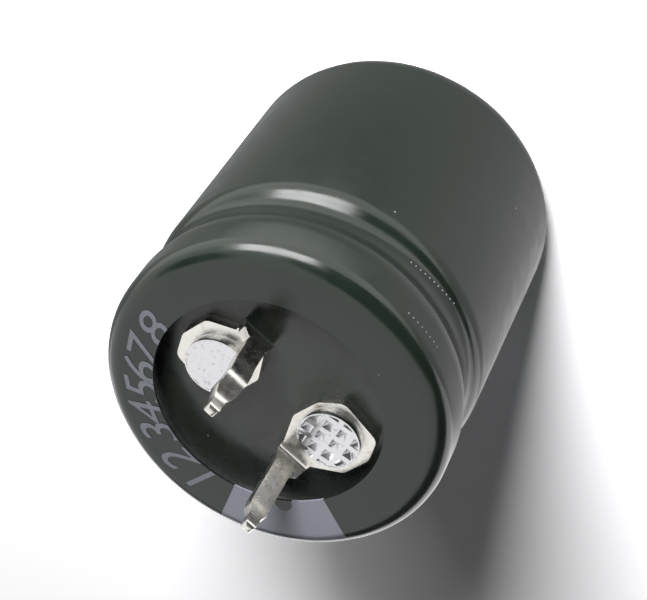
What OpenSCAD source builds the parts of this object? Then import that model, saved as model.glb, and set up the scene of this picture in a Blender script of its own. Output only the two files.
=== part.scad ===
// Snap-in aluminium electrolytic capacitor, standing on its closed end.
// Millimetres. +Z runs along the can towards the terminals, and the origin is
// the middle of the closed end. The two blades stand on the X axis.

/* [Can] */
// Outside diameter of the aluminium can
can_d = 25; // [22:0.5:35]
// Length of the can, from its closed end to the top of its curled rim
can_l = 30; // [26:0.5:50]
// Thickness of the can's sheet
can_wall = 0.4; // [0.3:0.05:0.5]
// Outside radius of the corner at the closed end
can_corner_r = 2.6; // [1.6:0.1:3]
// Outside radius of the curled rim
curl_r = 1.4; // [1.2:0.05:1.6]

/* [Bead] */
// Depth of the bead rolled into the can
bead_depth = 1.6; // [1.3:0.05:1.9]
// Half the length of the bead along the can
bead_half = 1.9; // [1.7:0.05:2.1]
// How far the neck above the bead stays below the can's outside
neck_drop = 0.4; // [0.3:0.05:0.5]
// Length over which the neck widens again
neck_l = 2.3; // [2:0.1:2.6]
// Angle up the bead's crest at which the seal rests on it
bead_seat_angle = 55; // [45:1:60]

/* [Vent] */
// Length of each score of the vent
vent_l = 13; // [8:0.5:15]
// Width of a score
vent_w = 0.6; // [0.3:0.05:1]
// Depth of a score
vent_depth = 0.22; // [0.1:0.01:0.25]
// Number of scores, crossing in the middle
vent_scores = 2; // [1:1:3]

/* [Sleeve] */
// Thickness of the heat-shrink sleeve
sleeve_wall = 0.15; // [0.1:0.01:0.25]
// Air left between the sleeve and the can
sleeve_gap = 0.02; // [0.01:0.01:0.05]
// Depth to which the sleeve shrinks into the bead
sleeve_sag = 0.58; // [0.5:0.01:0.7]
// Length of the sag's steep side, below the bead
sag_low_l = 2; // [1.8:0.1:2.4]
// Length of the sag's shallow side, above the bead
sag_high_l = 3.7; // [3.4:0.1:4.2]
// Width of the sleeve's fold over the terminal end
top_fold = 4.2; // [3.5:0.1:4.6]
// Width of the sleeve's fold under the closed end
base_fold = 3.6; // [2.5:0.1:4.5]

/* [Seal] */
// Depth of the seal's face below the can's rim
seal_drop = 1.85; // [1.65:0.05:2.2]
// Thickness of the rubber facing
rubber_t = 1.2; // [0.9:0.1:1.6]
// Thickness of the hard board under it
board_t = 2.8; // [2.4:0.1:3]
// Clearance between the seal and the can
seal_gap = 0.05; // [0.02:0.01:0.15]

/* [Terminals] */
// Distance between the two blades
blade_pitch = 10; // [9.5:0.1:10.5]
// Angle between a plate's length and the square to the line of the blades
plate_turn = 30.7; // [25:0.1:36]
// Distance from a blade to its rivet
rivet_reach = 4.2; // [4:0.05:4.5]
// Thickness of the terminals' sheet
sheet_t = 0.8; // [0.6:0.05:0.9]
// Inside radius of the bend between plate and blade
bend_r = 0.3; // [0.2:0.05:0.5]
// Width of the plate
plate_w = 5.6; // [5.4:0.1:6]
// Width of the plate's straight edge beyond the rivet
plate_head_w = 3.5; // [3:0.1:4]
// Width of the plate where the blade bends up
plate_neck_w = 2.6; // [2.4:0.1:3]
// Distance from the rivet to the plate's far edge
plate_head = 2.6; // [2.5:0.05:2.8]
// Length of the plate's straight sides
plate_side_l = 2.4; // [1.8:0.1:3]
// How far the straight sides run past the rivet towards the far edge
plate_side_head = 0.9; // [0.6:0.05:1.2]
// Radius of the plate's corners
plate_corner_r = 0.8; // [0.3:0.05:0.9]
// How far the plate's middle line lies beside the blade's
plate_shift = 0.25; // [0.1:0.05:0.4]

/* [Blades] */
// Angle between a blade's fold and the square to its plate's length
blade_turn = 9; // [0:1:12]
// Width of a blade
blade_w = 1.5; // [1.2:0.05:1.8]
// Height of the blades' tips above the sleeve's rim
blade_rise = 6.8; // [5.5:0.1:8]
// Height of the shoulders above the plate
shoulder_h = 0.55; // [0.4:0.05:0.8]
// Height over which the shoulders slope in to the blade
shoulder_slope = 0.5; // [0.3:0.05:0.8]
// Width across the shoulders
shoulder_w = 2.4; // [2.2:0.1:2.6]
// Width of a blade's tip
tip_w = 0.85; // [0.7:0.05:1.2]
// Length of the narrow tip
tip_l = 1.2; // [1:0.1:1.8]
// Length over which the blade narrows to its tip
tip_taper = 0.7; // [0.3:0.05:0.9]
// How far the negative blade's foot is bent up beyond its nominal place
foot_negative = 0.4; // [0.1:0.05:0.5]
// How far the positive blade's foot is bent up short of its nominal place
foot_positive = 0.15; // [0.05:0.05:0.3]
// Sideways step of the negative blade's kink, away from the rivet
kink_negative = 0.1; // [0.05:0.05:0.4]
// Sideways step of the positive blade's kink, away from the rivet
kink_positive = 0.45; // [0.3:0.05:0.6]
// Height of the kink's middle above the plate
kink_h = 3.8; // [3.4:0.1:4.2]
// Length of the kink along the blade
kink_l = 2.4; // [2:0.1:2.6]
// How far the negative blade's tip comes back towards its rivet
tip_back_negative = 0.35; // [0.1:0.05:0.5]
// How far the positive blade's tip comes back towards its rivet
tip_back_positive = 1.05; // [0.8:0.05:1.3]
// Length over which a tip comes back
tip_back_l = 2.1; // [1.9:0.1:2.3]

/* [Rivets] */
// Diameter of a rivet's shank
shank_d = 2.6; // [2.2:0.1:3]
// Diameter of the head pressed on the plate
head_d = 4.6; // [4.2:0.05:4.8]
// Height of the head above the plate
head_h = 0.78; // [0.6:0.02:0.95]
// Diameter of the flange inside the can
flange_d = 5; // [4.6:0.1:5.4]
// Thickness of the flange
flange_t = 0.8; // [0.6:0.05:1]
// Clearance round a shank
shank_gap = 0.03; // [0.01:0.01:0.1]
// Distance between the pits pressed into a head
pit_pitch = 1.15; // [1:0.05:1.3]
// Width of a pit
pit_w = 0.76; // [0.6:0.02:0.9]
// Depth of the pits in the clean head
pit_depth = 0.31; // [0.15:0.01:0.4]
// Depth of the pits in the smeared head
pit_smeared_depth = 0.08; // [0.05:0.01:0.15]
// Width of the plain rim round the pits
pit_rim = 0.12; // [0.08:0.02:0.3]
// Angle between the rows of pits and the plate's width
pit_turn = 19.5; // [0:0.5:45]

/* [Inside] */
// Diameter of the washers
washer_d = 6; // [5.6:0.1:6.6]
// Thickness of the washers
washer_t = 0.5; // [0.3:0.05:0.7]
// Width of the tabs
tab_w = 4; // [3.8:0.1:5]
// Thickness of the tabs
tab_t = 0.25; // [0.2:0.01:0.3]
// Inside radius of a tab's bends
tab_bend_r = 0.6; // [0.4:0.05:0.8]
// Clearance between a tab's upright and the rivet's flange
tab_clear = 0.6; // [0.4:0.05:1]
// Depth to which a tab goes into the roll
tab_sink = 3; // [2:0.1:5]
// Clearance round a tab in the roll
tab_gap = 0.05; // [0.03:0.01:0.1]
// Air between the roll and the can's wall
roll_gap = 0.5; // [0.4:0.05:1]
// Air between the roll and the bead
roll_headroom = 1; // [0.6:0.1:2]
// Diameter of the hole that the mandrel left in the roll
mandrel_d = 3.2; // [2.5:0.1:4]
// Distance between the turns that stand out at the roll's ends
turn_pitch = 0.8; // [0.6:0.05:1.2]
// Depth of the hollow between two of these turns
turn_depth = 0.25; // [0.1:0.05:0.4]
// Thickness of the tape round the roll
tape_t = 0.1; // [0.06:0.01:0.15]
// Air between the tape and the roll
tape_gap = 0.02; // [0.01:0.01:0.03]
// Width of roll left bare at each end of the tape
tape_margin = 2.5; // [1.5:0.1:4]

/* [Hidden] */
$fn = 96;

// Steps in a quarter turn of an outline
quarter = 8;
// Overshoot of a cutting tool
cut = 1;

can_r = can_d / 2;
sleeve_out = sleeve_gap + sleeve_wall;
can_base_z = sleeve_out;
can_top_z = can_base_z + can_l;
rim_z = can_top_z + sleeve_out;
curl_axis_r = can_r - curl_r;
curl_axis_z = can_top_z - curl_r;

// Stack of the seal, from its face down to its seat on the bead
seal_z = can_top_z - seal_drop;
board_top_z = seal_z - rubber_t;
board_z = board_top_z - board_t;
crest_r = can_r - bead_depth;
neck_r = can_r - neck_drop;
crest_arc_r = s_radius([neck_r - crest_r, bead_half]);
crest_seat_r = crest_arc_r + can_wall;
bead_z = board_z - crest_seat_r * sin(bead_seat_angle);
bead_seat_r = crest_r + crest_arc_r - crest_seat_r * cos(bead_seat_angle);

// Stack of a rivet, down from the plate's upper face
plate_top_z = seal_z + sheet_t;
washer_z = board_z - washer_t;
tab_z = washer_z - tab_t;
flange_z = tab_z - flange_t;
shank_hole_d = shank_d + 2 * shank_gap;

// Roll
roll_r = can_r - can_wall - roll_gap;
roll_base_z = can_base_z + can_wall;
roll_top_z = bead_z - bead_half - roll_headroom;
roll_corner_r = can_corner_r - can_wall;

// The blade's centre plane lies at y = 0 of a terminal's own frame
blade_y = sheet_t / 2;
bend_y = blade_y + bend_r;
blade_h = rim_z - seal_z + blade_rise;
tip_r = tip_w / 2;

// Rivet's place, and the direction in which its tab runs out
rivet_x = blade_pitch / 2 - rivet_reach * sin(plate_turn);
rivet_y = rivet_reach * cos(plate_turn);
tab_turn = atan2(rivet_y, rivet_x);
tab_in = -tab_w / 2;
tab_out = flange_d / 2 + tab_clear;
slot_out = norm([rivet_x, rivet_y]) + tab_out;

// Points of an arc from angle a to angle b
function arc(centre, r, a, b, steps) = [
    for (i = [0:steps])
        let (t = a + (b - a) * i / steps)
        centre + r * [cos(t), sin(t)]
];

function unit(v) = v / norm(v);

// Arc that rounds the corner p between the points before and after it
function corner(before, p, after, r) =
    let (u = unit(before - p))
    let (v = unit(after - p))
    let (half = acos(u * v) / 2)
    let (centre = p + unit(u + v) * r / sin(half))
    let (start = p + u * r / tan(half) - centre)
    let (end = p + v * r / tan(half) - centre)
    let (a = atan2(start[1], start[0]))
    let (turn = atan2(end[1], end[0]) - a)
    let (sweep = turn > 180 ? turn - 360 : turn < -180 ? turn + 360 : turn)
    arc(centre, r, a, a + sweep, quarter / 2);

// Line through the points, rounded at each but its two ends
function rounded(points, r) =
    let (last = len(points) - 1)
    concat(
        [points[0]],
        [for (i = [1:last - 1]) each corner(points[i - 1], points[i], points[i + 1], r)],
        [points[last]]
    );

function reversed(points) = [for (i = [len(points) - 1:-1:0]) points[i]];

// Radius of the two arcs of an S that climbs by step, upright at both ends
function s_radius(step) = step * step / (4 * abs(step[0]));

// S of two equal arcs from a up to b, offset by out towards +X
function s_curve(a, b, out) =
    let (r = s_radius(b - a))
    let (slope = asin((b[1] - a[1]) / (2 * r)))
    b[0] < a[0] ? concat(
        arc([a[0] - r, a[1]], r + out, 0, slope, quarter),
        arc([b[0] + r, b[1]], r - out, 180 + slope, 180, quarter)
    ) : concat(
        arc([a[0] + r, a[1]], r - out, 180, 180 - slope, quarter),
        arc([b[0] - r, b[1]], r + out, -slope, 0, quarter)
    );

// The can's bead and neck, offset outwards by out
function bead_path(out) =
    let (top = bead_z + bead_half)
    concat(
        s_curve([can_r, bead_z - bead_half], [crest_r, bead_z], out),
        s_curve([crest_r, bead_z], [neck_r, top], out),
        s_curve([neck_r, top], [can_r, top + neck_l], out)
    );

// The sleeve's shallow sag over the bead, offset outwards by out
function sag_path(out) =
    let (dip = [can_r - sleeve_sag, bead_z])
    concat(
        s_curve([can_r, bead_z - sag_low_l], dip, out),
        s_curve(dip, [can_r, bead_z + sag_high_l], out)
    );

// The corner at the closed end, offset outwards by out
function base_corner(out) =
    arc([can_r - can_corner_r, can_base_z + can_corner_r], can_corner_r + out, -90, 0, quarter);

// The can's half section from the axis to the lip of its curl
function can_path(out) = concat(
    [[0, can_base_z - out]],
    base_corner(out),
    bead_path(out),
    arc([curl_axis_r, curl_axis_z], curl_r + out, 0, 180, 2 * quarter),
    [[curl_axis_r - curl_r - out, seal_z]]
);

// The sleeve's half section from the edge of one fold to that of the other
function sleeve_path(out) = concat(
    [[can_r + sleeve_out - base_fold, can_base_z - out]],
    base_corner(out),
    sag_path(out),
    arc([curl_axis_r, curl_axis_z], curl_r + out, 0, 90, quarter),
    [[can_r + sleeve_out - top_fold, can_top_z + out]]
);

// Places its children at both terminals, or at one of them
module at_terminal(side) {
    rotate(side == "negative" ? 0 : 180)
        translate([blade_pitch / 2, 0])
            rotate(plate_turn)
                children();
}

// Places its children on the axis of a rivet
module at_rivet(side) {
    at_terminal(side)
        translate([0, rivet_reach])
            children();
}

module both_rivets() {
    for (side = ["negative", "positive"])
        at_rivet(side)
            children();
}

module sleeve() {
    color("#2a2b2c")
        rotate_extrude()
            polygon(concat(sleeve_path(sleeve_out), reversed(sleeve_path(sleeve_gap))));
}

module can() {
    color("silver")
        difference() {
            rotate_extrude()
                polygon(concat(can_path(0), reversed(can_path(-can_wall))));
            vent();
        }
}

// Scores that let the closed end open under pressure
module vent() {
    for (i = [0:vent_scores - 1])
        rotate(i * 180 / vent_scores)
            translate([0, 0, can_base_z + (vent_depth - cut) / 2])
                cube([vent_l, vent_w, vent_depth + cut], center = true);
}

module seal_rubber() {
    color("#232425")
        seal_disc(can_r - can_wall - seal_gap, board_top_z, rubber_t);
}

module seal_board() {
    color("#4a2f1c")
        seal_disc(bead_seat_r - seal_gap, board_z, board_t);
}

// Disc with a hole for each rivet
module seal_disc(r, z, t) {
    difference() {
        translate([0, 0, z])
            cylinder(r = r, h = t);
        both_rivets()
            translate([0, 0, z - cut])
                cylinder(d = shank_hole_d, h = t + 2 * cut);
    }
}

module terminal(side) {
    color("#d9d5c8")
        at_terminal(side)
            translate([0, 0, seal_z]) {
                plate(side);
                rotate(blade_turn)
                    blade(side);
            }
}

module plate(side) {
    wide = plate_w / 2;
    head = plate_head_w / 2;
    side_top = rivet_reach + plate_side_head;
    side_base = side_top - plate_side_l;
    far = rivet_reach + plate_head;
    outline = [
        plate_neck(side, 1),
        [plate_shift + wide, side_base],
        [plate_shift + wide, side_top],
        [plate_shift + head, far],
        [plate_shift - head, far],
        [plate_shift - wide, side_top],
        [plate_shift - wide, side_base],
        plate_neck(side, -1)
    ];
    difference() {
        linear_extrude(sheet_t)
            polygon(rounded(outline, plate_corner_r));
        translate([0, rivet_reach, -cut])
            cylinder(d = shank_hole_d, h = sheet_t + 2 * cut);
    }
}

// Plate's end corner on the +X or -X side, just inside the root of the blade
function plate_neck(side, way) =
    let (x = plate_shift + way * (plate_neck_w / 2 - bend_r / 6))
    let (y = foot(side) + bend_y + bend_r / 2)
    [x * cos(blade_turn) - y * sin(blade_turn), x * sin(blade_turn) + y * cos(blade_turn)];

// Where a blade's foot is bent up, from its nominal place towards the rivet
function foot(side) = side == "negative" ? -foot_negative : foot_positive;

// Blade bent up from the plate: its side view and front view, crossed
module blade(side) {
    kink = side == "negative" ? kink_negative : kink_positive;
    back = side == "negative" ? tip_back_negative : tip_back_positive;
    tip = [foot(side) - kink + back, blade_h - blade_y];
    root_y = foot(side) + bend_y + bend_r;
    right = blade_edge(plate_shift);
    left = [for (p = reversed(blade_edge(-plate_shift))) [-p[0], p[1]]];
    intersection() {
        rotate([90, 0, 90])
            linear_extrude(plate_w, center = true)
                polygon(concat(
                    [[root_y, 0]],
                    blade_side(0, foot(side), kink, back),
                    arc(tip, blade_y, 180, 0, quarter),
                    reversed(blade_side(sheet_t, foot(side), kink, back)),
                    [[root_y, sheet_t]]
                ));
        rotate([90, 0, 0])
            linear_extrude(plate_w, center = true)
                polygon(concat(right, left));
    }
}

// Side view of one of the blade's faces, a depth below the outer one, from the plate to the tip
function blade_side(depth, foot_y, kink, back) =
    let (low = [foot_y - blade_y, sheet_t + kink_h - kink_l / 2])
    let (kinked = low + [-kink, kink_l])
    concat(
        arc([foot_y + bend_y, sheet_t + bend_r], bend_r + sheet_t - depth, -90, -180, quarter),
        s_curve(low, kinked, depth),
        s_curve(kinked, kinked + [back, tip_back_l], depth)
    );

// One edge of the blade's front view, from the plate up to the tip, its neck shifted outwards
function blade_edge(shift) =
    let (neck = plate_neck_w / 2 + shift)
    let (shoulder = [shoulder_w / 2 + shift, sheet_t + shoulder_h])
    let (root = [blade_w / 2, shoulder[1] + shoulder_slope])
    let (step = blade_h - tip_l)
    concat(
        [[neck, 0], [neck, sheet_t]],
        corner([neck, sheet_t], shoulder, root, bend_r / 2),
        [root, [blade_w / 2, step - tip_taper], [tip_r, step]],
        arc([0, blade_h - tip_r], tip_r, 0, 90, quarter)
    );

module rivet(side, depth) {
    color("#c9cbcd")
        at_rivet(side) {
            difference() {
                translate([0, 0, plate_top_z])
                    cylinder(d = head_d, h = head_h);
                translate([0, 0, plate_top_z + head_h])
                    pits(depth);
            }
            translate([0, 0, tab_z])
                cylinder(d = shank_d, h = plate_top_z - tab_z);
            translate([0, 0, flange_z])
                cylinder(d = flange_d, h = flange_t);
        }
}

// Grid of square, pointed pits, cut off at the head's plain rim
module pits(depth) {
    rows = ceil(head_d / pit_pitch / 2);
    intersection() {
        rotate(pit_turn)
            for (i = [-rows:rows - 1])
                for (j = [-rows:rows])
                    translate([(i + 0.5) * pit_pitch, j * pit_pitch])
                        pit(depth);
        cylinder(r = head_d / 2 - pit_rim, h = 2 * depth, center = true);
    }
}

// Pyramid that stands on its point, as deep as given below the face and a little above it
module pit(depth) {
    above = depth / 8;
    grow = 1 + above / depth;
    translate([0, 0, -depth])
        linear_extrude(depth + above, scale = 1000)
            square(pit_w * grow / 1000, center = true);
}

module washer(side) {
    color("#d5d7da")
        at_rivet(side)
            translate([0, 0, washer_z])
                difference() {
                    cylinder(d = washer_d, h = washer_t);
                    translate([0, 0, -cut])
                        cylinder(d = shank_hole_d, h = washer_t + 2 * cut);
                }
}

// Places its children at a rivet, with +X running out along the tab
module at_tab(side) {
    rotate(side == "negative" ? 0 : 180)
        translate([rivet_x, rivet_y])
            rotate(tab_turn)
                children();
}

module tab(side) {
    color("#dcdee0")
        at_tab(side)
            difference() {
                rotate([90, 0, 0])
                    linear_extrude(tab_w, center = true)
                        tab_section();
                translate([0, 0, tab_z - cut])
                    cylinder(d = shank_hole_d, h = tab_t + 2 * cut);
            }
}

// Side view of a tab: flat under the washer, then down into the roll
module tab_section() {
    bend = [tab_out - tab_bend_r, tab_z - tab_bend_r];
    foot_z = roll_top_z - tab_sink;
    polygon(concat(
        [[tab_in, tab_z], [tab_in, tab_z + tab_t]],
        arc(bend, tab_bend_r + tab_t, 90, 0, quarter),
        [[tab_out + tab_t, foot_z], [tab_out, foot_z]],
        arc(bend, tab_bend_r, 0, 90, quarter)
    ));
}

module winding() {
    color("#c8b48c")
        difference() {
            rotate_extrude()
                winding_section();
            for (turn = [0, 180])
                rotate(turn + tab_turn)
                    tab_slot();
        }
}

// Half section of the roll, with the paper's turns standing out at its ends
module winding_section() {
    hole = mandrel_d / 2;
    corner_axis = [roll_r - roll_corner_r, roll_base_z + roll_corner_r];
    turns = floor((corner_axis[0] - hole) / turn_pitch) - 1;
    difference() {
        polygon(concat(
            [[hole, roll_top_z], [hole, roll_base_z]],
            arc(corner_axis, roll_corner_r, -90, 0, quarter),
            [[roll_r, roll_top_z]]
        ));
        for (i = [1:turns])
            for (z = [roll_base_z - cut, roll_top_z - turn_depth])
                translate([hole + i * turn_pitch, z])
                    square([turn_pitch / 2, turn_depth + cut]);
    }
}

// Slot between two turns, in which a tab's foot lies
module tab_slot() {
    translate([slot_out - tab_gap, -tab_w / 2 - tab_gap, roll_top_z - tab_sink])
        cube([tab_t + 2 * tab_gap, tab_w + 2 * tab_gap, tab_sink + cut]);
}

module winding_tape() {
    tape_base_z = roll_base_z + tape_margin;
    tape_w = roll_top_z - roll_base_z - 2 * tape_margin;
    color("#b98a4a")
        translate([0, 0, tape_base_z])
            difference() {
                cylinder(r = roll_r + tape_gap + tape_t, h = tape_w);
                translate([0, 0, -cut])
                    cylinder(r = roll_r + tape_gap, h = tape_w + 2 * cut);
            }
}

sleeve();
can();
seal_rubber();
seal_board();
terminal("negative");  // terminal_negative
terminal("positive");  // terminal_positive
rivet("negative", pit_depth);  // rivet_negative
rivet("positive", pit_smeared_depth);  // rivet_positive
washer("negative");  // washer_negative
washer("positive");  // washer_positive
tab("negative");  // tab_negative
tab("positive");  // tab_positive
winding();
winding_tape();
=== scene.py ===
"""Looks of a snap-in electrolytic capacitor: shrink film, print, seal, terminals and rivets."""
import math

import bpy
from mathutils import Matrix, Vector


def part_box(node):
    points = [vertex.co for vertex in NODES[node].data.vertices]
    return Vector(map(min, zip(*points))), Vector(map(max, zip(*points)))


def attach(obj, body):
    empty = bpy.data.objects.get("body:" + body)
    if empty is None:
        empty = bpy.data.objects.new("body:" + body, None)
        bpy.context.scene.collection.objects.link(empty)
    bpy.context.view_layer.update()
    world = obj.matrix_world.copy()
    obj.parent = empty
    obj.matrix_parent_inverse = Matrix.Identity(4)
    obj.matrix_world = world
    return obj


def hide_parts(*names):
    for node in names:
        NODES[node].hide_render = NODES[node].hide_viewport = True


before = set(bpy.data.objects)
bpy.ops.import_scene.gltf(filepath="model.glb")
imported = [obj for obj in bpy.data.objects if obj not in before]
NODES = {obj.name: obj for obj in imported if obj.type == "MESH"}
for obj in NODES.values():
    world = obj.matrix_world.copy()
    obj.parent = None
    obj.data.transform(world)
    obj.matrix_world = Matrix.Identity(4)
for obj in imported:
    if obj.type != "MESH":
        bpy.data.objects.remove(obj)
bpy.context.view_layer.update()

MM = 0.001
BODY = "root"

# Points closer than MERGED are one point. Lengths that differ by less than CLOSE are equal.
MERGED = 0.0005 * MM
CLOSE = 0.01 * MM

# Sizes, read off the frame

def ring_sizes(node):
    """Outermost radius of a round node at each height that its mesh has."""
    rings = {}
    for vertex in NODES[node].data.vertices:
        height = round(vertex.co.z, 6)
        radius = math.hypot(vertex.co.x, vertex.co.y)
        rings[height] = max(radius, rings.get(height, 0.0))
    return rings


def opening_radius(node, height):
    """Innermost radius of a round node at one height."""
    near = [v.co for v in NODES[node].data.vertices if abs(v.co.z - height) < CLOSE]
    return min(math.hypot(co.x, co.y) for co in near)


film_low, film_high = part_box("sleeve")
rim_z = film_high.z
film_r = film_high.x
top_opening_r = opening_radius("sleeve", rim_z)
base_opening_r = opening_radius("sleeve", film_low.z)
film_rings = ring_sizes("sleeve")
# Heights of the sleeve's wall, between its rounded base and its rounded rim
waist = [z for z in film_rings if 10 * MM < z < rim_z - 3 * MM]
dip_z = min(waist, key=film_rings.get)
dip_r = film_rings[dip_z]
full = [z for z in waist if film_rings[z] > film_r - 2 * MERGED]
sag_low = max(z for z in full if z < dip_z)
sag_high = min(z for z in full if z > dip_z)

# Film
FILM_WALL = 0.15 * MM
FILM_OUT = 0.17 * MM
RIM_ROUND = 1.57 * MM
BASE_ROUND = 2.77 * MM
FOLD_LIP = 1.5 * MM
FILM_STEPS = 256
ARC_STEPS = 16
ROUND_STEPS = 128

# The cut edge over the terminals is drawn to one side, and the film within reach follows it
OPENING_SHIFT = (-0.3 * MM, -0.17 * MM, 0)
SHIFT_REACH = 2.4 * MM

# The shrunk film lies a little unevenly
RIPPLE_LENGTH = 5 * MM
RIPPLE_DEPTH = 0.06 * MM

# Print on the top fold: running digits, placed by their azimuths in degrees
DIGITS = "12345678"
DIGIT_AZIMUTHS = (-43, -56, -71.5, -82, -94, -104, -114, -128)
DIGIT_BASE_R = 8.3 * MM
DIGIT_SIZE = 3.7 * MM
DIGIT_WIDEN = 1.13
DIGIT_SLANT = 0.3
INK_T = 0.012 * MM

# Rounded edges of the metal, and how sharp an edge has to be for it. A rivet's pits are less
# sharp and stay crisp.
TERMINAL_EDGE = 0.16 * MM
TERMINAL_SHARP = 35
RIVET_EDGE = 0.05 * MM
RIVET_SHARP = 65

# Faces of the CAD mesh that meet at less than this angle are one face
FLAT_ANGLE = 0.5

# Angles up to which faces are shaded as one
FILM_SMOOTH = 40
TERMINAL_SMOOTH = 35
RIVET_SMOOTH = 25


# Modelling, as by hand

def deselect():
    if bpy.context.object and bpy.context.object.mode != "OBJECT":
        bpy.ops.object.mode_set(mode="OBJECT")
    bpy.ops.object.select_all(action="DESELECT")


def pick(piece):
    deselect()
    piece.select_set(True)
    bpy.context.view_layer.objects.active = piece


def settle(piece):
    """Moves a piece's place into its mesh."""
    pick(piece)
    bpy.ops.object.transform_apply(location=True, rotation=True, scale=True)


def apply_modifier(piece, kind, **values):
    pick(piece)
    modifier = piece.modifiers.new(kind.title(), kind)
    for key, value in values.items():
        setattr(modifier, key, value)
    bpy.ops.object.modifier_apply(modifier=modifier.name)


def bevel(piece, width, segments, sharp):
    """Rounds the edges whose faces meet at more than an angle in degrees."""
    apply_modifier(piece, "BEVEL", width=width, segments=segments, limit_method="ANGLE",
                   angle_limit=math.radians(sharp))


def smooth(piece, degrees):
    pick(piece)
    bpy.ops.object.shade_smooth_by_angle(angle=math.radians(degrees))


def dress(piece, finish):
    piece.data.materials.clear()
    piece.data.materials.append(finish)


def arc(centre, radius, start, end, steps):
    """Points of an arc in a half section, from one angle to another in degrees."""
    points = []
    for i in range(steps + 1):
        turn = math.radians(start + (end - start) * i / steps)
        points.append((centre[0] + radius * math.cos(turn), centre[1] + radius * math.sin(turn)))
    return points


def lathe(name, outline, steps):
    """Spins a line of (radius, height) points round the Z axis."""
    deselect()
    first = outline[0]
    bpy.ops.mesh.primitive_plane_add(size=0.1 * MM, location=(first[0], 0, first[1]))
    piece = bpy.context.object
    piece.name = name
    bpy.ops.object.mode_set(mode="EDIT")
    bpy.ops.mesh.merge(type="CENTER")
    for here, there in zip(outline, outline[1:]):
        step = (there[0] - here[0], 0, there[1] - here[1])
        bpy.ops.mesh.extrude_vertices_move(TRANSFORM_OT_translate={"value": step})
    bpy.ops.mesh.select_all(action="SELECT")
    bpy.ops.mesh.spin(steps=steps, angle=math.tau, center=(0, 0, 0), axis=(0, 0, 1))
    bpy.ops.mesh.select_all(action="SELECT")
    bpy.ops.mesh.remove_doubles(threshold=MERGED)
    bpy.ops.mesh.normals_make_consistent(inside=False)
    bpy.ops.object.mode_set(mode="OBJECT")
    settle(piece)
    return piece


def copy_of(node, name):
    """A separate, merged copy of a CAD node, to be finished and shown in its place."""
    deselect()
    piece = NODES[node].copy()
    piece.data = NODES[node].data.copy()
    piece.parent = None
    piece.name = name
    for key in list(piece.keys()):
        del piece[key]
    bpy.context.scene.collection.objects.link(piece)
    pick(piece)
    bpy.ops.mesh.customdata_custom_splitnormals_clear()
    bpy.ops.object.mode_set(mode="EDIT")
    bpy.ops.mesh.select_all(action="SELECT")
    bpy.ops.mesh.remove_doubles(threshold=MERGED)
    bpy.ops.mesh.dissolve_limited(angle_limit=math.radians(FLAT_ANGLE))
    bpy.ops.object.mode_set(mode="OBJECT")
    return piece


# Film

def s_curve(start, end):
    """S of two arcs from one height up to another, as the source lays it round the can."""
    swing = end[0] - start[0]
    climb = end[1] - start[1]
    bend = (swing ** 2 + climb ** 2) / (4 * abs(swing))
    slope = math.degrees(math.asin(climb / (2 * bend)))
    crest = bend + FILM_OUT
    hollow = bend - FILM_OUT
    if swing < 0:
        first = arc((start[0] - crest, start[1]), crest, 0, slope, ARC_STEPS)
        last = arc((end[0] + hollow, end[1]), hollow, 180 + slope, 180, ARC_STEPS)
    else:
        first = arc((start[0] + hollow, start[1]), hollow, 180, 180 - slope, ARC_STEPS)
        last = arc((end[0] - crest, end[1]), crest, -slope, 0, ARC_STEPS)
    return first + last[1:]


def film_outline():
    """Half section of the film's outer face, from the base fold's edge to the top fold's."""
    base_axis = (film_r - BASE_ROUND, film_low.z + BASE_ROUND)
    rim_axis = (film_r - RIM_ROUND, rim_z - RIM_ROUND)
    outline = [(base_opening_r, film_low.z)]
    outline += arc(base_axis, BASE_ROUND, -90, 0, ARC_STEPS)
    outline += s_curve((film_r, sag_low), (dip_r, dip_z))
    outline += s_curve((dip_r, dip_z), (film_r, sag_high))[1:]
    outline += arc(rim_axis, RIM_ROUND, 0, 90, ARC_STEPS)
    outline += [(top_opening_r + FOLD_LIP, rim_z), (top_opening_r, rim_z)]
    return outline


def shift_opening(film):
    """Draws the cut edge of the top fold to one side, with the film round it following."""
    pick(film)
    bpy.ops.object.mode_set(mode="EDIT")
    bpy.ops.mesh.select_all(action="DESELECT")
    bpy.ops.object.mode_set(mode="OBJECT")
    for vertex in film.data.vertices:
        radius = math.hypot(vertex.co.x, vertex.co.y)
        vertex.select = radius < top_opening_r + CLOSE and vertex.co.z > rim_z - CLOSE
    bpy.ops.object.mode_set(mode="EDIT")
    bpy.ops.transform.translate(value=OPENING_SHIFT, use_proportional_edit=True,
                                proportional_edit_falloff="SMOOTH", proportional_size=SHIFT_REACH)
    bpy.ops.object.mode_set(mode="OBJECT")


def ripple(film):
    """Lets the shrunk film lie a little unevenly, never outside its own size."""
    unevenness = bpy.data.textures.new("shrink_unevenness", "CLOUDS")
    unevenness.noise_scale = RIPPLE_LENGTH
    apply_modifier(film, "DISPLACE", texture=unevenness, texture_coords="LOCAL",
                   strength=RIPPLE_DEPTH, mid_level=1)


def make_film():
    film = lathe("film", film_outline(), FILM_STEPS)
    shift_opening(film)
    ripple(film)
    apply_modifier(film, "SOLIDIFY", thickness=FILM_WALL, offset=-1)
    smooth(film, FILM_SMOOTH)
    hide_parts("sleeve")
    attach(film, BODY)
    return film


# Print

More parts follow.
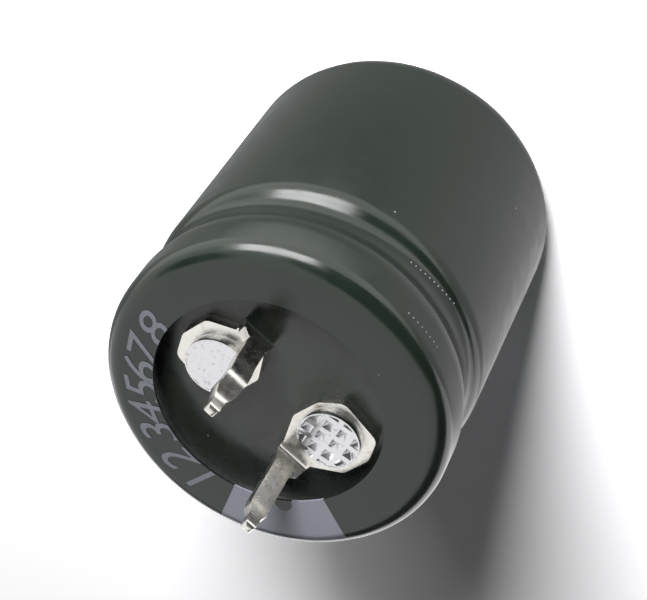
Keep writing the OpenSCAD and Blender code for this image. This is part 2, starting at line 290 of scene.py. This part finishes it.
def make_digit(digit, azimuth):
    """One slanted digit on the top fold, its top towards the rim."""
    deselect()
    bpy.ops.object.text_add()
    piece = bpy.context.object
    piece.data.body = digit
    piece.data.size = DIGIT_SIZE
    piece.data.align_x = "CENTER"
    piece.data.shear = DIGIT_SLANT
    piece.data.extrude = INK_T / 2
    pick(piece)
    bpy.ops.object.convert(target="MESH")
    turn = math.radians(azimuth)
    piece.scale = (DIGIT_WIDEN, 1, 1)
    piece.location = (DIGIT_BASE_R * math.cos(turn), DIGIT_BASE_R * math.sin(turn), rim_z)
    piece.rotation_euler = (0, 0, turn - math.pi / 2)
    settle(piece)
    return piece


def make_print():
    """The digits in one piece, cut off where the film's opening crosses them."""
    deselect()
    bpy.ops.mesh.primitive_cylinder_add(vertices=ROUND_STEPS, radius=top_opening_r, depth=1 * MM,
                                        location=(OPENING_SHIFT[0], OPENING_SHIFT[1], rim_z))
    opening = bpy.context.object
    digits = [make_digit(digit, azimuth) for digit, azimuth in zip(DIGITS, DIGIT_AZIMUTHS)]
    for digit in digits:
        apply_modifier(digit, "BOOLEAN", operation="DIFFERENCE", object=opening, solver="EXACT")
    bpy.data.objects.remove(opening)
    pick(digits[0])
    for digit in digits:
        digit.select_set(True)
    bpy.ops.object.join()
    ink = bpy.context.object
    ink.name = "printed_digits"
    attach(ink, BODY)
    return ink


# Metal pieces

def make_terminal(side):
    """Plate and blade in one, with the rounded edges of a stamping."""
    terminal = copy_of("terminal_" + side, "blade_" + side)
    bevel(terminal, TERMINAL_EDGE, 4, TERMINAL_SHARP)
    smooth(terminal, TERMINAL_SMOOTH)
    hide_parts("terminal_" + side)
    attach(terminal, BODY)
    return terminal


def make_rivet(side):
    """Rivet with a softened rim, while the pits of its head stay crisp."""
    rivet = copy_of("rivet_" + side, "rivet_head_" + side)
    bevel(rivet, RIVET_EDGE, 2, RIVET_SHARP)
    smooth(rivet, RIVET_SMOOTH)
    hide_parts("rivet_" + side)
    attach(rivet, BODY)
    return rivet


# Materials, in millimetres and degrees

def feed(tree, socket, source):
    """Links a socket to another, or sets it to a value."""
    if isinstance(source, bpy.types.NodeSocket):
        tree.links.new(source, socket)
    else:
        socket.default_value = source


def calc(tree, operation, *sources):
    node = tree.nodes.new("ShaderNodeMath")
    node.operation = operation
    for socket, source in zip(node.inputs, sources):
        feed(tree, socket, source)
    return node.outputs[0]


def split(tree, place):
    """The three coordinates of a place."""
    node = tree.nodes.new("ShaderNodeSeparateXYZ")
    feed(tree, node.inputs[0], place)
    return node.outputs["X"], node.outputs["Y"], node.outputs["Z"]


def hypotenuse(tree, first, second):
    squares = [calc(tree, "MULTIPLY", source, source) for source in (first, second)]
    return calc(tree, "SQRT", calc(tree, "ADD", *squares))


def fade(tree, source, low, high, to_low=0.0, to_high=1.0):
    """Goes smoothly from one value to another while the source goes from low to high."""
    node = tree.nodes.new("ShaderNodeMapRange")
    node.interpolation_type = "SMOOTHSTEP"
    for name, value in zip(("Value", "From Min", "From Max", "To Min", "To Max"),
                           (source, low, high, to_low, to_high)):
        feed(tree, node.inputs[name], value)
    return node.outputs[0]


def mottle(tree, grain, low, high):
    """Wanders between two values with a noise."""
    return fade(tree, grain, 0.3, 0.7, low, high)


def blend(tree, share, first, second):
    """Mixes two colours."""
    node = tree.nodes.new("ShaderNodeMix")
    node.data_type = "RGBA"
    sockets = (node.inputs[0], node.inputs[6], node.inputs[7])
    for socket, source in zip(sockets, (share, first, second)):
        feed(tree, socket, source)
    return node.outputs[2]


def noise(tree, place, per_mm, detail=2.0):
    node = tree.nodes.new("ShaderNodeTexNoise")
    feed(tree, node.inputs["Vector"], place)
    node.inputs["Scale"].default_value = per_mm
    node.inputs["Detail"].default_value = detail
    return node.outputs["Fac"]


def stretched(tree, place, scale):
    """The place, with more or less of the pattern along each axis."""
    node = tree.nodes.new("ShaderNodeVectorMath")
    node.operation = "MULTIPLY"
    tree.links.new(place, node.inputs[0])
    node.inputs[1].default_value = scale
    return node.outputs[0]


def bump(tree, height, depth):
    """Normals of a relief whose height of 1 stands for a depth in metres."""
    node = tree.nodes.new("ShaderNodeBump")
    node.inputs["Distance"].default_value = depth
    feed(tree, node.inputs["Height"], height)
    return node.outputs["Normal"]


def millimetres(tree):
    """Place on the piece, in millimetres."""
    coords = tree.nodes.new("ShaderNodeTexCoord")
    scaled = tree.nodes.new("ShaderNodeVectorMath")
    scaled.operation = "SCALE"
    tree.links.new(coords.outputs["Object"], scaled.inputs[0])
    scaled.inputs["Scale"].default_value = 1 / MM
    return scaled.outputs[0]


def new_group(name, inputs, outputs):
    """A shader node group, with its input and output nodes."""
    tree = bpy.data.node_groups.new(name, "ShaderNodeTree")
    for label, kind, value in inputs:
        socket = tree.interface.new_socket(label, in_out="INPUT", socket_type=kind)
        if value is not None:
            socket.default_value = value
    for label, kind in outputs:
        tree.interface.new_socket(label, in_out="OUTPUT", socket_type=kind)
    return tree, tree.nodes.new("NodeGroupInput"), tree.nodes.new("NodeGroupOutput")


def place_group(tree, group, **sources):
    """Puts a node group in a material and feeds its inputs."""
    node = tree.nodes.new("ShaderNodeGroup")
    node.node_tree = group
    for name, source in sources.items():
        feed(tree, node.inputs[name.replace("_", " ")], source)
    return node


def build_dust():
    """Scattered specks: a mask of dots, of which only a share shows."""
    tree, given, result = new_group(
        "dust",
        [("Place", "NodeSocketVector", None), ("Per mm", "NodeSocketFloat", 1.0),
         ("Share", "NodeSocketFloat", 0.1), ("Size", "NodeSocketFloat", 0.1)],
        [("Mask", "NodeSocketFloat")])
    cells = tree.nodes.new("ShaderNodeTexVoronoi")
    tree.links.new(given.outputs["Place"], cells.inputs["Vector"])
    tree.links.new(given.outputs["Per mm"], cells.inputs["Scale"])
    chance = tree.nodes.new("ShaderNodeSeparateColor")
    tree.links.new(cells.outputs["Color"], chance.inputs[0])
    chosen = calc(tree, "LESS_THAN", chance.outputs[0], given.outputs["Share"])
    reach = calc(tree, "MULTIPLY", given.outputs["Size"], chance.outputs[1])
    dot = calc(tree, "LESS_THAN", cells.outputs["Distance"], reach)
    feed(tree, result.inputs["Mask"], calc(tree, "MULTIPLY", chosen, dot))
    return tree


def build_round_place():
    """Azimuth in degrees, radius and height in millimetres, round the can's axis."""
    tree, given, result = new_group(
        "round_place", [("Place", "NodeSocketVector", None)],
        [(label, "NodeSocketFloat") for label in ("Azimuth", "Radius", "Height")])
    x, y, z = split(tree, given.outputs["Place"])
    azimuth = calc(tree, "DEGREES", calc(tree, "ARCTAN2", y, x))
    feed(tree, result.inputs["Azimuth"], azimuth)
    feed(tree, result.inputs["Radius"], hypotenuse(tree, x, y))
    feed(tree, result.inputs["Height"], z)
    return tree


DUST = build_dust()
ROUND_PLACE = build_round_place()


def material(name, **values):
    """A node material with its Principled BSDF's sockets set."""
    made = bpy.data.materials.new(name)
    made.use_nodes = True
    shader = made.node_tree.nodes["Principled BSDF"]
    for key, value in values.items():
        shader.inputs[key.replace("_", " ")].default_value = value
    return made


def parts_of(made):
    """A material's tree, its shader and the place on the piece."""
    tree = made.node_tree
    return tree, tree.nodes["Principled BSDF"], millimetres(tree)


# Colours
FILM_DARK = (0.008, 0.014, 0.010, 1)
STRIPE_GREY = (0.27, 0.28, 0.34, 1)
INK_GREY = (0.2, 0.205, 0.24, 1)
DUST_GREY = (0.25, 0.25, 0.25, 1)
PRICK_GREY = (0.3, 0.3, 0.31, 1)
SEAL_BLACK = (0.024, 0.029, 0.025, 1)
TIN_BRIGHT = (0.86, 0.84, 0.79, 1)
TIN_STAINED = (0.62, 0.56, 0.47, 1)
RIVET_BRIGHT = (0.76, 0.76, 0.78, 1)
RIVET_DULL = (0.52, 0.52, 0.53, 1)
CAN_BRIGHT = (0.82, 0.83, 0.84, 1)
CAN_DULL = (0.66, 0.67, 0.68, 1)
BOARD_DARK = (0.085, 0.036, 0.016, 1)
BOARD_PALE = (0.15, 0.07, 0.034, 1)
BOARD_FLECK = (0.05, 0.02, 0.01, 1)
PAPER_DARK = (0.44, 0.32, 0.17, 1)
PAPER_PALE = (0.57, 0.45, 0.27, 1)
FOIL_GREY = (0.36, 0.33, 0.29, 1)
TAPE_PALE = (0.46, 0.23, 0.07, 1)
TAPE_DARK = (0.35, 0.16, 0.045, 1)

PLASTIC_IOR = 1.6

# Thickness of a layer of the roll
LAYER_PITCH = 0.3

# Rows of pricks near the film's rim: azimuths of both ends, then heights there from the rim
PRICK_ROWS = ((108, 130, -7.9, -7.15), (108, 124, -2.4, -1.95))
PRICK_PITCH = 2.05
PRICK_R = 0.06

# Polarity stripe: its azimuths, and its dark bars with round ends
STRIPE_LOW = -31
STRIPE_HIGH = 17.5
STRIPE_EDGE = 0.2
BAR_EDGE = 0.03
BAR_AZIMUTH = -5
BAR_HALF_W = 0.65
BAR_L = 3.8
BAR_PITCH = 9
BAR_START = 34.5


def stripe_mask(tree, azimuth, radius, height):
    """1 on the grey of the stripe, 0 beside it and in its dark bars."""
    begun = fade(tree, azimuth, STRIPE_LOW - STRIPE_EDGE, STRIPE_LOW + STRIPE_EDGE)
    ended = fade(tree, azimuth, STRIPE_HIGH - STRIPE_EDGE, STRIPE_HIGH + STRIPE_EDGE, 1.0, 0.0)
    along = calc(tree, "SUBTRACT", calc(tree, "ADD", height, film_r / MM), radius)
    phase = calc(tree, "WRAP", calc(tree, "SUBTRACT", along, BAR_START + BAR_L / 2),
                 BAR_PITCH / 2, -BAR_PITCH / 2)
    past_end = calc(tree, "SUBTRACT", calc(tree, "ABSOLUTE", phase), BAR_L / 2)
    turn = calc(tree, "RADIANS", calc(tree, "SUBTRACT", azimuth, BAR_AZIMUTH))
    across = calc(tree, "MULTIPLY", turn, radius)
    away = hypotenuse(tree, across, calc(tree, "MAXIMUM", past_end, 0.0))
    clear = fade(tree, away, BAR_HALF_W - BAR_EDGE, BAR_HALF_W + BAR_EDGE)
    return calc(tree, "MULTIPLY", calc(tree, "MULTIPLY", begun, ended), clear)


def prick_mask(tree, azimuth, height):
    """1 on the rows of evenly spaced pricks, 0 elsewhere."""
    mask = 0.0
    step = calc(tree, "WRAP", azimuth, PRICK_PITCH / 2, -PRICK_PITCH / 2)
    along = calc(tree, "MULTIPLY", step, math.radians(1) * film_r / MM)
    for start, end, start_z, end_z in PRICK_ROWS:
        from_start = calc(tree, "SUBTRACT", azimuth, float(start))
        rise = calc(tree, "MULTIPLY", from_start, (end_z - start_z) / (end - start))
        above = calc(tree, "SUBTRACT", height, calc(tree, "ADD", rise, rim_z / MM + start_z))
        dot = fade(tree, hypotenuse(tree, above, along), 0.6 * PRICK_R, 1.4 * PRICK_R, 1.0, 0.0)
        from_middle = calc(tree, "SUBTRACT", azimuth, (start + end) / 2)
        within = calc(tree, "LESS_THAN", calc(tree, "ABSOLUTE", from_middle), (end - start) / 2)
        mask = calc(tree, "MAXIMUM", calc(tree, "MULTIPLY", dot, within), mask)
    return mask


def make_film_plastic():
    """Glossy dark film with its stripe, its pricks and a little dust."""
    made = material("film_plastic", IOR=PLASTIC_IOR)
    tree, shader, place = parts_of(made)
    spot = place_group(tree, ROUND_PLACE, Place=place)
    stripe = stripe_mask(tree, *[spot.outputs[name] for name in ("Azimuth", "Radius", "Height")])
    dust = place_group(tree, DUST, Place=place, Per_mm=0.9, Share=0.12, Size=0.09).outputs[0]
    prick = prick_mask(tree, spot.outputs["Azimuth"], spot.outputs["Height"])
    printed = blend(tree, prick, blend(tree, stripe, FILM_DARK, STRIPE_GREY), PRICK_GREY)
    feed(tree, shader.inputs["Base Color"], blend(tree, dust, printed, DUST_GREY))
    feed(tree, shader.inputs["Roughness"], mottle(tree, noise(tree, place, 0.5), 0.17, 0.25))
    feed(tree, shader.inputs["Normal"], bump(tree, noise(tree, place, 0.35), 0.02 * MM))
    return made


def make_ink():
    made = material("stripe_ink", Base_Color=INK_GREY)
    tree, shader, place = parts_of(made)
    feed(tree, shader.inputs["Roughness"], mottle(tree, noise(tree, place, 2), 0.25, 0.35))
    return made


def make_seal_face():
    """Smooth black rubber with specks of dust."""
    made = material("seal_face", IOR=PLASTIC_IOR)
    tree, shader, place = parts_of(made)
    dust = place_group(tree, DUST, Place=place, Per_mm=1.4, Share=0.15, Size=0.1).outputs[0]
    feed(tree, shader.inputs["Base Color"], blend(tree, dust, SEAL_BLACK, DUST_GREY))
    feed(tree, shader.inputs["Roughness"], mottle(tree, noise(tree, place, 0.8), 0.24, 0.34))
    feed(tree, shader.inputs["Normal"], bump(tree, noise(tree, place, 0.5), 0.02 * MM))
    return made


def make_tinned():
    """Tinned sheet with warm stains."""
    made = material("tinned", Metallic=1)
    tree, shader, place = parts_of(made)
    stain = fade(tree, noise(tree, place, 1.1, 3), 0.55, 0.8)
    feed(tree, shader.inputs["Base Color"], blend(tree, stain, TIN_BRIGHT, TIN_STAINED))
    feed(tree, shader.inputs["Roughness"], mottle(tree, noise(tree, place, 2), 0.24, 0.34))
    feed(tree, shader.inputs["Normal"], bump(tree, noise(tree, place, 1.5), 0.004 * MM))
    return made


def make_rivet_metal():
    """Pressed aluminium with duller grains."""
    made = material("rivet_metal", Metallic=1)
    tree, shader, place = parts_of(made)
    grain = noise(tree, place, 3, 3)
    dull = fade(tree, grain, 0.55, 0.8)
    feed(tree, shader.inputs["Base Color"], blend(tree, dull, RIVET_BRIGHT, RIVET_DULL))
    feed(tree, shader.inputs["Roughness"], mottle(tree, grain, 0.16, 0.26))
    feed(tree, shader.inputs["Normal"], bump(tree, noise(tree, place, 2), 0.004 * MM))
    return made


def make_can_metal():
    """Drawn aluminium, with fine lines along the can and dull patches."""
    made = material("can_metal", Metallic=1)
    tree, shader, place = parts_of(made)
    dull = fade(tree, noise(tree, place, 0.4, 3), 0.4, 0.75)
    lines = noise(tree, stretched(tree, place, (6, 6, 0.15)), 1, 3)
    feed(tree, shader.inputs["Base Color"], blend(tree, dull, CAN_BRIGHT, CAN_DULL))
    feed(tree, shader.inputs["Roughness"], mottle(tree, lines, 0.28, 0.42))
    feed(tree, shader.inputs["Normal"], bump(tree, lines, 0.006 * MM))
    return made


def make_board():
    """Pressed paper board, with fibres in its plane and darker flecks."""
    made = material("board_brown")
    tree, shader, place = parts_of(made)
    fibre = noise(tree, stretched(tree, place, (1.2, 5, 9)), 1, 4)
    fleck = place_group(tree, DUST, Place=place, Per_mm=2.2, Share=0.3, Size=0.25).outputs[0]
    brown = blend(tree, mottle(tree, fibre, 0.0, 1.0), BOARD_DARK, BOARD_PALE)
    feed(tree, shader.inputs["Base Color"], blend(tree, fleck, brown, BOARD_FLECK))
    feed(tree, shader.inputs["Roughness"], mottle(tree, fibre, 0.5, 0.68))
    feed(tree, shader.inputs["Normal"], bump(tree, fibre, 0.015 * MM))
    return made


def make_roll():
    """Wound paper and foil: thin layers show as rings on the ends, fibres on the wall."""
    made = material("paper_roll")
    tree, shader, place = parts_of(made)
    radius = place_group(tree, ROUND_PLACE, Place=place).outputs["Radius"]
    layer = calc(tree, "PINGPONG", radius, LAYER_PITCH / 2)
    foil = fade(tree, layer, 0.3 * LAYER_PITCH, 0.4 * LAYER_PITCH)
    fibre = noise(tree, stretched(tree, place, (2.5, 2.5, 8)), 1, 4)
    paper = blend(tree, mottle(tree, fibre, 0.0, 1.0), PAPER_DARK, PAPER_PALE)
    feed(tree, shader.inputs["Base Color"], blend(tree, foil, paper, FOIL_GREY))
    feed(tree, shader.inputs["Roughness"], mottle(tree, fibre, 0.7, 0.85))
    feed(tree, shader.inputs["Normal"], bump(tree, layer, 0.03 * MM))
    return made


def make_tape():
    """Amber film tape, with a slight mottle where it lies over the roll."""
    made = material("tape_amber")
    tree, shader, place = parts_of(made)
    cloud = noise(tree, place, 0.7, 3)
    darker = fade(tree, cloud, 0.35, 0.7)
    feed(tree, shader.inputs["Base Color"], blend(tree, darker, TAPE_PALE, TAPE_DARK))
    feed(tree, shader.inputs["Roughness"], mottle(tree, cloud, 0.28, 0.4))
    feed(tree, shader.inputs["Normal"], bump(tree, noise(tree, place, 0.5), 0.02 * MM))
    return made


can_metal = make_can_metal()
tinned = make_tinned()
rivet_metal = make_rivet_metal()

dress(make_film(), make_film_plastic())
dress(make_print(), make_ink())
for side in ("negative", "positive"):
    dress(make_terminal(side), tinned)
    dress(make_rivet(side), rivet_metal)
    dress(NODES["washer_" + side], can_metal)
    dress(NODES["tab_" + side], can_metal)
dress(NODES["can"], can_metal)
dress(NODES["seal_rubber"], make_seal_face())
dress(NODES["seal_board"], make_board())
dress(NODES["winding"], make_roll())
dress(NODES["winding_tape"], make_tape())


# Stage, light and camera

WHITE = (1.0, 1.0, 1.0, 1.0)

# Floor: white to the camera, grey to the light on the pieces. Its shadow fades out between
# two distances.
FLOOR_R = 600 * MM
FLOOR_WHITE = (1.9, 1.9, 1.93, 1)
FLOOR_GREY = (0.3, 0.3, 0.3, 1)
SHADOW_FADE = (50 * MM, 110 * MM)

# What glossy pieces mirror of the floor is a painted reflection, a glow that is no lamp: painted
# shade at low x + y, paler as x + y grows, and bright far out along x
PAINTED_REFLECTION_SPAN = (-25 * MM, 20 * MM)
PAINTED_REFLECTION_LEVELS = (0.35, 0.65)
SIDE_SPAN = (26 * MM, 36 * MM)
PAINTED_SIDE_GLOW = 1.1

# Room, with dark patches whose centre and reach are azimuths and elevations in degrees
SKY = 1.0
SKY_SHARE = 0.06
DARK_ROOM = 0.08
PATCH_EDGE = (0.7, 1.2)
BEHIND_CAMERA = ((125, 30), (62, 40))
FAR_SIDE = ((25, 0), (75, 38))
DOORWAY = ((-123, 34), (22, 17))

LIGHT_AIM = Vector((0, 0, 15)) * MM

CAMERA_AZIMUTH = 143.53
CAMERA_ELEVATION = 50.67
CAMERA_ROLL = 148.33
CAMERA_DISTANCE = 130.32 * MM
CAMERA_AIM = Vector((-0.437, -0.592, 17.36)) * MM
LENS = 97.88
SENSOR = 36


def direction(azimuth, elevation):
    """Unit vector towards an azimuth from +X and an elevation, in degrees."""
    turn = math.radians(azimuth)
    rise = math.radians(elevation)
    level = math.cos(rise)
    return Vector((level * math.cos(turn), level * math.sin(turn), math.sin(rise)))


def light_shader(tree, kind, colour=WHITE):
    node = tree.nodes.new(kind)
    feed(tree, node.inputs["Color"], colour)
    return node.outputs[0]


def choose(tree, share, first, second):
    """Mixes two shaders."""
    node = tree.nodes.new("ShaderNodeMixShader")
    for socket, source in zip(node.inputs, (share, first, second)):
        feed(tree, socket, source)
    return node.outputs[0]


def make_floor():
    """White to the camera, grey to the light on the pieces, and a glowing painted reflection to
    glossy rays, with painted shade and bright sides.
    """
    deselect()
    bpy.ops.mesh.primitive_circle_add(vertices=ROUND_STEPS, radius=FLOOR_R, fill_type="NGON",
                                      location=(0, 0, film_low.z))
    floor = bpy.context.object
    floor.name = "floor"
    settle(floor)
    paint = bpy.data.materials.new("floor_paint")
    paint.use_nodes = True
    tree = paint.node_tree
    tree.nodes.clear()
    out = tree.nodes.new("ShaderNodeOutputMaterial")
    path = tree.nodes.new("ShaderNodeLightPath")
    coords = tree.nodes.new("ShaderNodeTexCoord")
    x, y, _ = split(tree, coords.outputs["Object"])
    # Painted reflection: to glossy rays the floor glows, with painted shade at low x + y and
    # painted bright sides far out along x.
    near = fade(tree, calc(tree, "ADD", x, y), *PAINTED_REFLECTION_SPAN, *PAINTED_REFLECTION_LEVELS)
    painted_sides = fade(tree, calc(tree, "ABSOLUTE", x), *SIDE_SPAN, 0.0, PAINTED_SIDE_GLOW)
    painted_reflection = light_shader(tree, "ShaderNodeEmission", calc(tree, "ADD", near, painted_sides))
    far = fade(tree, hypotenuse(tree, x, y), *SHADOW_FADE)
    shadowed = light_shader(tree, "ShaderNodeBsdfDiffuse", FLOOR_WHITE)
    seen = choose(tree, far, shadowed, light_shader(tree, "ShaderNodeEmission"))
    grey = light_shader(tree, "ShaderNodeBsdfDiffuse", FLOOR_GREY)
    rough = choose(tree, path.outputs["Is Camera Ray"], grey, seen)
    feed(tree, out.inputs["Surface"],
         choose(tree, path.outputs["Is Glossy Ray"], rough, painted_reflection))
    floor.data.materials.append(paint)


def patch_distance(tree, azimuth, elevation, patch):
    """Square of how far a direction lies from a patch's centre, where 1 is the patch's edge."""
    shares = []
    for angle, centre, reach in zip((azimuth, elevation), *patch):
        offset = calc(tree, "SUBTRACT", angle, math.radians(centre))
        share = calc(tree, "DIVIDE", offset, math.radians(reach))
        shares.append(calc(tree, "POWER", share, 2.0))
    return calc(tree, "ADD", *shares)


def make_world():
    """A pale studio that polished faces mirror, with a dim room behind the camera."""
    world = bpy.data.worlds.new("studio")
    world.use_nodes = True
    bpy.context.scene.world = world
    tree = world.node_tree
    tree.nodes.clear()
    out = tree.nodes.new("ShaderNodeOutputWorld")
    path = tree.nodes.new("ShaderNodeLightPath")
    coords = tree.nodes.new("ShaderNodeTexCoord")
    x, y, z = split(tree, coords.outputs["Generated"])
    azimuth = calc(tree, "ARCTAN2", y, x)
    elevation = calc(tree, "ARCSINE", z)
    behind_camera = patch_distance(tree, azimuth, elevation, BEHIND_CAMERA)
    far_side = patch_distance(tree, azimuth, elevation, FAR_SIDE)
    doorway = patch_distance(tree, azimuth, elevation, DOORWAY)
    away = calc(tree, "MINIMUM", calc(tree, "MINIMUM", behind_camera, far_side), doorway)
    studio = tree.nodes.new("ShaderNodeBackground")
    feed(tree, studio.inputs["Color"], fade(tree, away, *PATCH_EDGE, DARK_ROOM, SKY))
    feed(tree, studio.inputs["Strength"],
         fade(tree, path.outputs["Is Glossy Ray"], 0.0, 1.0, SKY_SHARE, 1.0))
    white = light_shader(tree, "ShaderNodeBackground")
    feed(tree, out.inputs["Surface"],
         choose(tree, path.outputs["Is Camera Ray"], studio.outputs[0], white))


def area_light(name, azimuth, elevation, distance, width, height, radiance, glossy=True):
    """A soft box that faces the can. Its radiance is in units of a white surface's."""
    lamp = bpy.data.lights.new(name, "AREA")
    lamp.shape = "RECTANGLE"
    lamp.size = width
    lamp.size_y = height
    lamp.energy = radiance * math.pi * width * height
    holder = bpy.data.objects.new(name, lamp)
    bpy.context.scene.collection.objects.link(holder)
    towards = direction(azimuth, elevation)
    holder.location = LIGHT_AIM + towards * distance
    holder.rotation_euler = towards.to_track_quat("Z", "Y").to_euler()
    holder.visible_glossy = glossy
    holder.visible_camera = False


def make_camera():
    """The photo's camera, rolled because the photographed capacitor lies on its side."""
    back = direction(CAMERA_AZIMUTH, CAMERA_ELEVATION)
    level = Vector((0, 0, 1)).cross(back).normalized()
    upright = back.cross(level)
    turn = math.radians(CAMERA_ROLL)
    up = math.cos(turn) * upright + math.sin(turn) * level
    right = math.cos(turn) * level - math.sin(turn) * upright
    lens = bpy.data.cameras.new("camera")
    lens.lens = LENS
    lens.sensor_width = SENSOR
    lens.clip_start = 1 * MM
    lens.clip_end = 100
    camera = bpy.data.objects.new("camera", lens)
    bpy.context.scene.collection.objects.link(camera)
    place = Matrix.Translation(CAMERA_AIM + back * CAMERA_DISTANCE)
    axes = Matrix((right, up, back)).transposed()
    camera.matrix_world = place @ axes.to_4x4()
    bpy.context.scene.camera = camera


make_floor()
make_world()
area_light("window", 182, 8, 160 * MM, 120 * MM, 90 * MM, 9)
area_light("key", 171, 35, 220 * MM, 75 * MM, 75 * MM, 31, glossy=False)
make_camera()
bpy.context.scene.view_settings.view_transform = "Standard"
